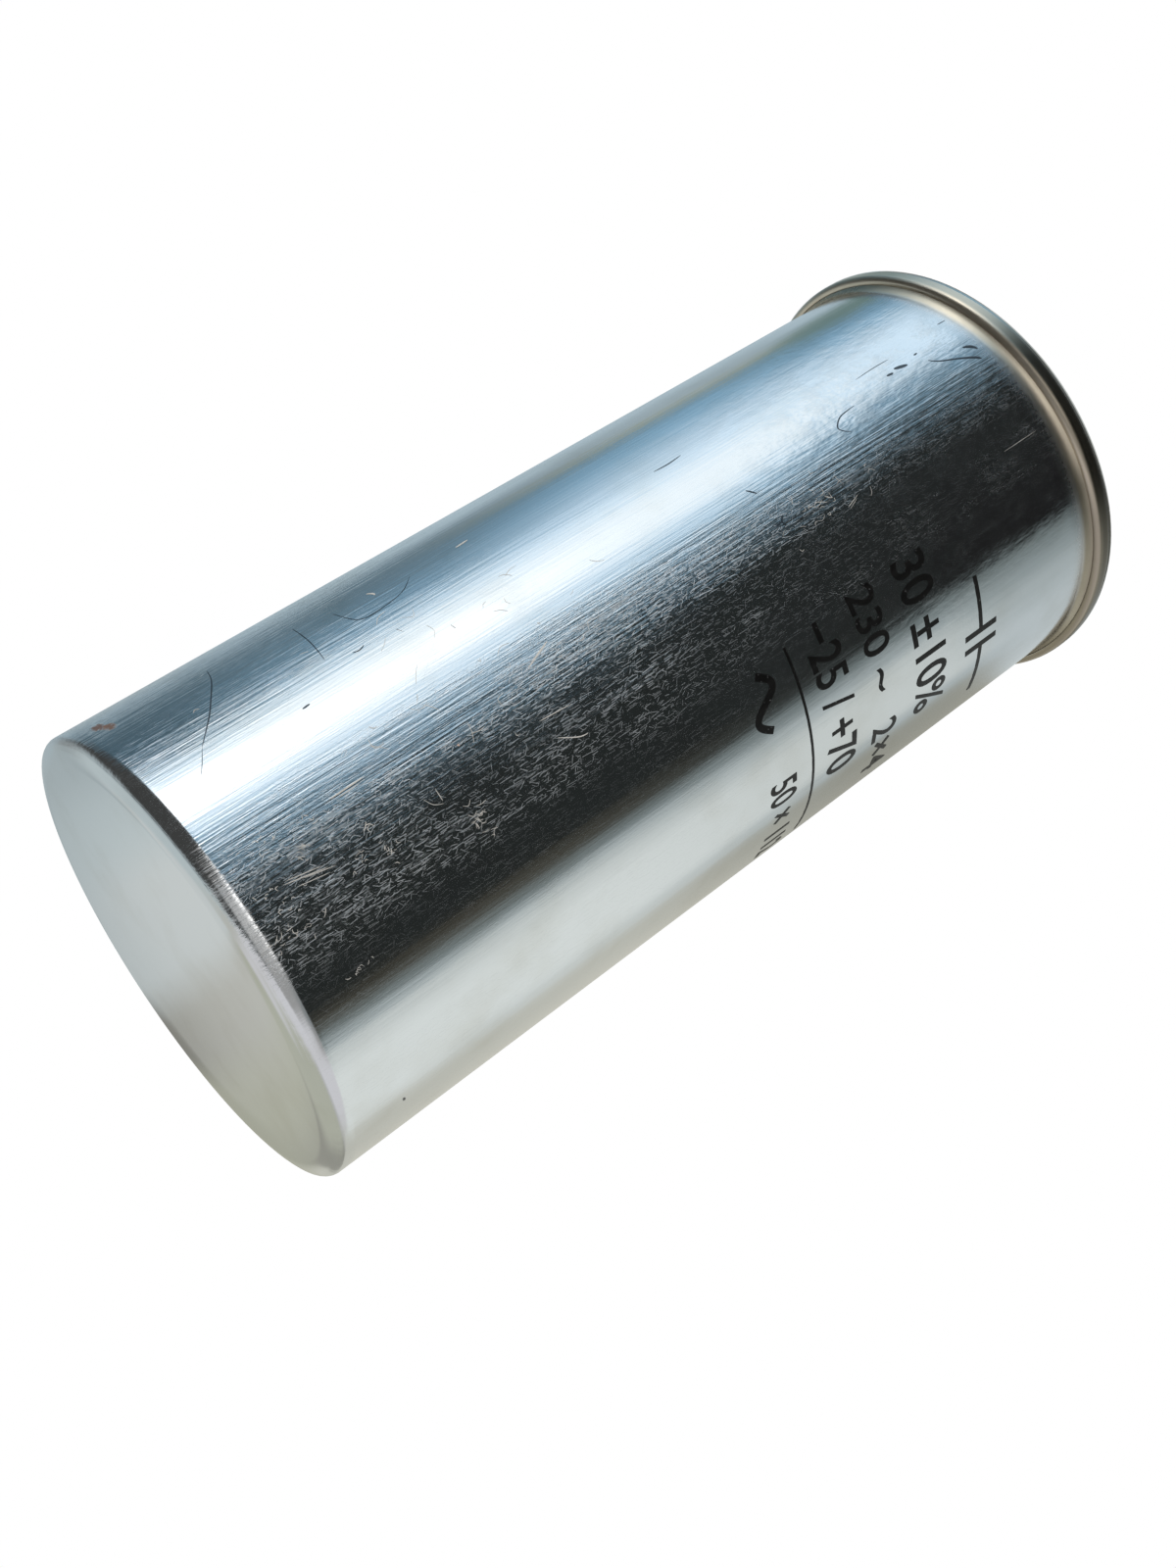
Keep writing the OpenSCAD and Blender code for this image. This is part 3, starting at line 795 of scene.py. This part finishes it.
def wrapSheet(sheet, name, lift, material, step=0.5):
    xs = [v.co.x for v in sheet.verts]
    cut = math.ceil(min(xs) / step) * step
    while cut < max(xs):
        geometry = [*sheet.verts, *sheet.edges, *sheet.faces]
        bmesh.ops.bisect_plane(sheet, geom=geometry, dist=1e-6, plane_co=(cut, 0, 0), plane_no=(1, 0, 0))
        cut += step
    for v in sheet.verts:
        radius = canRadius + lift + v.co.z
        turn = v.co.x / canRadius
        v.co = Vector((radius * math.sin(turn), -radius * math.cos(turn), v.co.y)) * mm
    bmesh.ops.recalc_face_normals(sheet, faces=sheet.faces)
    mesh = bpy.data.meshes.new(name)
    sheet.to_mesh(mesh)
    sheet.free()
    piece = addObject(name, mesh, material)
    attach(piece, "root")
    return piece


# Print on the wall: a generic rating in plain numbers and signs
ratingPrint = {
    "ink": (0.004, 0.0038, 0.0035),
    "thin": 2.0,                    # worn ink is paler by this
    "thinFrom": (0.35, 0.75),
    "rubbed": (1.6, 3.0, 0.6),      # noises: scale, detail, roughness
    "rubbedStretch": (1, 1, 0.05),
    "flecks": (2.2, 4.0, 0.75),
    "fleckFrom": (0.64, 0.72),
    "fleckShare": 0.5,
    "fleckMetal": 0.8,
    "roughness": 0.42,
    "rubbedRough": 0.2,
    "specular": 0.25,
    "depth": 0.004,
    "bold": 0.012,                  # by which the strokes are fattened, at size 1
    "capTop": 0.729,                # of the built-in font, at size 1
    "curveSteps": 5,
    "extrude": 0.01,                # only tells the top from the foot
    "thickness": 0.008,
    "lift": 0.003,
    "rows": [
        # words, start and end round the wall in degrees, foot and cap height in mm
        {"words": "30 ±10%", "from": 13, "to": 58, "foot": 78.7, "cap": 5.0},
        {"words": "230 ~   2×4", "from": 13, "to": 70, "foot": 71.8, "cap": 3.9},
        {"words": "−25 / +70", "from": 14, "to": 57, "foot": 64.7, "cap": 4.6},
        {"words": "50 × 112", "from": 46, "to": 76, "foot": 56.2, "cap": 3.9},
    ],
    "rule": {"from": 15, "to": 76, "z": 62.4, "width": 0.35},
    "sign": {"from": 28, "to": 66, "foot": 86.7, "cap": 5.2, "plates": (44, 48.5), "lead": 0.6,
             "plate": 0.75},
    "wave": {"from": 17, "to": 31, "z": 57.8, "swing": 1.6, "width": 0.85, "steps": 32},
}


def makeInk():
    material, r = newFinish("ratingInk")
    place = r.place()
    flecks = r.smooth(r.noise(place, *ratingPrint["flecks"]), *ratingPrint["fleckFrom"])
    rubbed = r.noise(r.stretch(place, ratingPrint["rubbedStretch"]), *ratingPrint["rubbed"])
    thin = tuple(c * ratingPrint["thin"] for c in ratingPrint["ink"])
    colour = r.blend(r.smooth(rubbed, *ratingPrint["thinFrom"]), ratingPrint["ink"], thin)
    colour = r.blend(flecks * ratingPrint["fleckShare"], colour, canFinish["tarnish"])
    rough = ratingPrint["roughness"] + (rubbed - 0.5) * ratingPrint["rubbedRough"]
    r.skin(BaseColor=colour, Metallic=flecks * ratingPrint["fleckMetal"], Roughness=rough,
           SpecularIorLevel=ratingPrint["specular"], Normal=r.bump(rubbed * ratingPrint["depth"]))
    return material


def roundWall(degrees):
    return math.radians(degrees) * canRadius


def addWords(sheet, row):
    data = bpy.data.curves.new("words", "FONT")
    data.body = row["words"]
    data.resolution_u = ratingPrint["curveSteps"]
    data.extrude = ratingPrint["extrude"]
    data.offset = ratingPrint["bold"]
    thing = bpy.data.objects.new("words", data)
    bpy.context.scene.collection.objects.link(thing)
    bpy.context.view_layer.update()
    mesh = thing.evaluated_get(bpy.context.evaluated_depsgraph_get()).to_mesh()
    glyphs = bmesh.new()
    glyphs.from_mesh(mesh)
    bpy.data.objects.remove(thing)
    bmesh.ops.remove_doubles(glyphs, verts=glyphs.verts, dist=1e-5)
    xs = [v.co.x for v in glyphs.verts]
    across = (roundWall(row["to"]) - roundWall(row["from"])) / (max(xs) - min(xs))
    for v in glyphs.verts:
        top = ratingPrint["thickness"] if v.co.z > 0 else 0.0
        v.co = Vector((
            roundWall(row["from"]) + (v.co.x - min(xs)) * across,
            row["foot"] + v.co.y * row["cap"] / ratingPrint["capTop"],
            top))
    flat = bpy.data.meshes.new("words")
    glyphs.to_mesh(flat)
    glyphs.free()
    sheet.from_mesh(flat)
    bpy.data.meshes.remove(flat)


def makePrint():
    sheet = bmesh.new()
    thickAndShade = ratingPrint["thickness"]
    for row in ratingPrint["rows"]:
        addWords(sheet, row)
    rule, sign, wave = (ratingPrint[name] for name in ("rule", "sign", "wave"))
    addStrip(sheet, [(roundWall(rule[end]), rule["z"]) for end in ("from", "to")], [rule["width"]] * 2, thickAndShade)
    middle = sign["foot"] + sign["cap"] / 2
    leads = ((sign["from"], sign["plates"][0]), (sign["plates"][1], sign["to"]))
    for start, end in leads:   # the circuit sign: two leads and two plates
        addStrip(sheet, [(roundWall(start), middle), (roundWall(end), middle)], [sign["lead"]] * 2, thickAndShade)
    for plate in sign["plates"]:
        at = roundWall(plate)
        ends = [(at, sign["foot"]), (at, sign["foot"] + sign["cap"])]
        addStrip(sheet, ends, [sign["plate"]] * 2, thickAndShade)
    start, end = roundWall(wave["from"]), roundWall(wave["to"])
    steps = wave["steps"]
    path = [(start + (end - start) * i / steps, wave["z"] + wave["swing"] * math.sin(2 * math.pi * i / steps))
            for i in range(steps + 1)]
    addStrip(sheet, path, [wave["width"]] * len(path), thickAndShade)
    return wrapSheet(sheet, "can_print", ratingPrint["lift"], makeInk())


printed = makePrint()
print("print:", len(printed.data.polygons), "faces")


# Marks that can be told one by one: turn round the wall in degrees and height in mm, with the widest width
marks = {
    "thickness": 0.004,
    "lift": 0.002,
    "kinds": {
        "dark": {"colour": (0.13, 0.15, 0.17), "metal": 1.0, "rough": 0.5},
        "bright": {"colour": (0.95, 0.90, 0.82), "metal": 0.15, "rough": 0.5},
    },
    "speck": (2.5, 3.0, 0.7),   # noise: scale, detail, roughness
    "speckShade": 0.7,
    "speckRough": 0.2,
    "steps": 6,                 # from point to point
    "tip": 0.12,                # width of the ends against the widest
    "taper": 0.6,
    "tailFrom": 2,              # step after which a tail narrows, and by what share
    "tailFade": 0.8,
    "dark": [
        {"path": [(-17.9, 105.5), (-19.2, 104.9), (-21.2, 103.2), (-23.6, 100.9), (-25.4, 99.9)],
         "width": 0.36, "tail": True},
        {"path": [(-20.9, 106.2), (-22.4, 105.7), (-23.4, 104.8)], "width": 0.42},
        {"path": [(-29.0, 99.8), (-28.9, 99.2)], "width": 0.22},
        {"path": [(-27.5, 97.5), (-28.0, 96.6), (-28.5, 95.7)], "width": 0.44},
        {"path": [(-27.6, 95.2), (-27.8, 94.2)], "width": 0.30},
        {"path": [(-31.9, 96.4), (-32.0, 94.0), (-31.7, 91.0)], "width": 0.09},
        {"path": [(-33.3, 106.7), (-33.4, 105.4)], "width": 0.11},
        {"path": [(-25.4, 87.9), (-25.2, 86.6), (-24.6, 85.2), (-22.6, 84.0), (-21.0, 84.2), (-19.8, 84.9)],
         "width": 0.16},
        {"path": [(-39.7, 68), (-39.3, 66), (-39.5, 64)], "width": 0.15},
        {"path": [(-21.2, 69.5), (-20.2, 69.9), (-19.0, 70.3)], "width": 0.18},
        {"path": [(-11.2, 70.9), (-10.0, 70.3), (-8.5, 70.4)], "width": 0.20},
        {"path": [(-9.9, 70.3), (-9.7, 69.3)], "width": 0.15},
        {"path": [(-61.2, 14.8), (-55.1, 13.9), (-46, 11.4), (-41.5, 9.8), (-37.5, 8.2)], "width": 0.14},
        {"path": [(-37.5, 8.2), (-34.0, 7.2), (-31.2, 6.3)], "width": 0.07},
        {"path": [(-58, 23.8), (-49, 23.4), (-41.1, 22.75)], "width": 0.11},
        {"path": [(-54.6, 27.6), (-49.7, 28.0), (-46.7, 28.8), (-46.5, 31.1), (-47.9, 34.0), (-51.8, 36.2)],
         "width": 0.12},
        {"path": [(-39.0, 26.6), (-38.4, 25.9), (-38.7, 25.2)], "width": 0.14},
        {"path": [(-32.6, 18.4), (-32.4, 17.5)], "width": 0.22},
    ],
    "bright": [
        {"path": [(-53.0, 43.9), (-52.6, 42.2)], "width": 0.24},
        {"path": [(-54.7, 31.7), (-53.4, 32.1), (-52.3, 32.1)], "width": 0.24},
        {"path": [(-15.6, 40.6), (-14.2, 38.9), (-12.6, 37.1)], "width": 0.18},
        {"path": [(3.4, 35.5), (5.7, 37.4), (6.2, 38.5)], "width": 0.11},
        {"path": [(-1.7, 34.8), (-1.1, 38.6)], "width": 0.09},
        {"path": [(-1.75, 22.5), (1.2, 22.5)], "width": 0.07},
        {"path": [(-11.9, 17.8), (-11.7, 13.8)], "width": 0.15},
        {"path": [(-11.2, 17.0), (-11.0, 14.6)], "width": 0.09},
        {"path": [(0.2, 10.9), (-1.2, 7.8)], "width": 0.07},
        {"path": [(-0.4, 10.2), (-2.2, 6.0)], "width": 0.09},
        {"path": [(-1.2, 9.9), (-2.6, 6.4)], "width": 0.07},
        {"path": [(0.8, 10.2), (-0.4, 7.0)], "width": 0.06},
        {"path": [(5.3, 105.4), (5.3, 99.8)], "width": 0.035},
        {"path": [(-5.6, 80.0), (-4.2, 78.0)], "width": 0.055},
        {"path": [(-4.9, 79.6), (-3.7, 78.2)], "width": 0.04},
    ],
    "seed": 11,
    "lean": 45,                 # spread of the hairs' lean and bend, in degrees
    "bend": 30,
    "lowest": 1.6,              # height of the lowest hair
    # swarms of short hairs: middle, spread, how many, lengths and widths in mm
    "swarms": [
        {"at": (-10.5, 11.0), "spread": (1.6, 1.2), "count": 6, "length": (0.3, 0.7), "width": (0.04, 0.08)},
        {"at": (-6.7, 9.0), "spread": (1.8, 1.2), "count": 10, "length": (0.3, 0.8), "width": (0.04, 0.08)},
        {"at": (-1.5, 5.5), "spread": (4.0, 1.8), "count": 16, "length": (0.3, 0.7), "width": (0.04, 0.08)},
        {"at": (-11.5, 6.7), "spread": (3.0, 2.0), "count": 9, "length": (0.3, 0.7), "width": (0.04, 0.08)},
        {"at": (4.5, 16.2), "spread": (2.8, 1.2), "count": 9, "length": (0.3, 0.7), "width": (0.04, 0.07)},
        {"at": (2.2, 13.6), "spread": (1.8, 1.8), "count": 9, "length": (0.3, 0.7), "width": (0.04, 0.07)},
        {"at": (-3.0, 15.2), "spread": (1.0, 0.6), "count": 3, "length": (0.6, 1.0), "width": (0.05, 0.09)},
        {"at": (20.5, 8.2), "spread": (1.2, 2.6), "count": 8, "length": (0.3, 0.7), "width": (0.03, 0.06)},
        {"at": (7.0, 4.6), "spread": (2.4, 3.0), "count": 18, "length": (0.3, 0.9), "width": (0.03, 0.07)},
        {"at": (9.0, 24.6), "spread": (3.5, 1.4), "count": 22, "length": (0.3, 1.2), "width": (0.03, 0.06)},
        {"at": (-24, 32), "spread": (24, 18), "count": 34, "length": (0.6, 2.4), "width": (0.04, 0.08)},
        {"at": (-8, 76), "spread": (5, 7), "count": 26, "length": (0.5, 1.6), "width": (0.03, 0.06)},
    ],
}


def makeMarkMetal(name, look):
    material, r = newFinish(name)
    speck = r.noise(r.place(), *marks["speck"])
    shade = tuple(c * marks["speckShade"] for c in look["colour"])
    r.skin(BaseColor=r.blend(speck, shade, look["colour"]), Metallic=look["metal"],
           Roughness=look["rough"] + (speck - 0.5) * marks["speckRough"])
    return material


def addMark(sheet, path, width, tail=False):
    line = smoothPath([(roundWall(turn), z) for turn, z in path], marks["steps"])
    last = len(line) - 1
    widths = []
    for i in range(last + 1):
        if tail and i > marks["tailFrom"]:
            share = 1 - marks["tailFade"] * i / last
        else:
            share = math.sin(math.pi * i / last) ** marks["taper"]
        widths.append(width * (marks["tip"] + (1 - marks["tip"]) * share))
    addStrip(sheet, line, widths, marks["thickness"])


def addSwarm(sheet, swarm, dice):
    for _ in range(swarm["count"]):
        turn, z = (dice.gauss(at, spread / 2) for at, spread in zip(swarm["at"], swarm["spread"]))
        lean = dice.gauss(0, marks["lean"])
        bend = dice.gauss(0, marks["bend"])
        half = dice.uniform(*swarm["length"]) / 2
        path = []
        for way in (-1, 0, 1):
            angle = math.radians(lean + bend * way)
            path.append((turn + math.degrees(way * half * math.sin(angle) / canRadius),
                         max(z + way * half * math.cos(angle), marks["lowest"])))
        addMark(sheet, path, dice.uniform(*swarm["width"]))


def makeMarks():
    dice = random.Random(marks["seed"])
    made = []
    for kind, look in marks["kinds"].items():
        sheet = bmesh.new()
        for mark in marks[kind]:
            addMark(sheet, mark["path"], mark["width"], mark.get("tail", False))
        if kind == "bright":
            for swarm in marks["swarms"]:
                addSwarm(sheet, swarm, dice)
        material = makeMarkMetal(kind + "Mark", look)
        made.append(wrapSheet(sheet, "can_marks_" + kind, marks["lift"], material))
    return made


for piece in makeMarks():
    print("marks:", piece.name, len(piece.data.polygons), "faces")
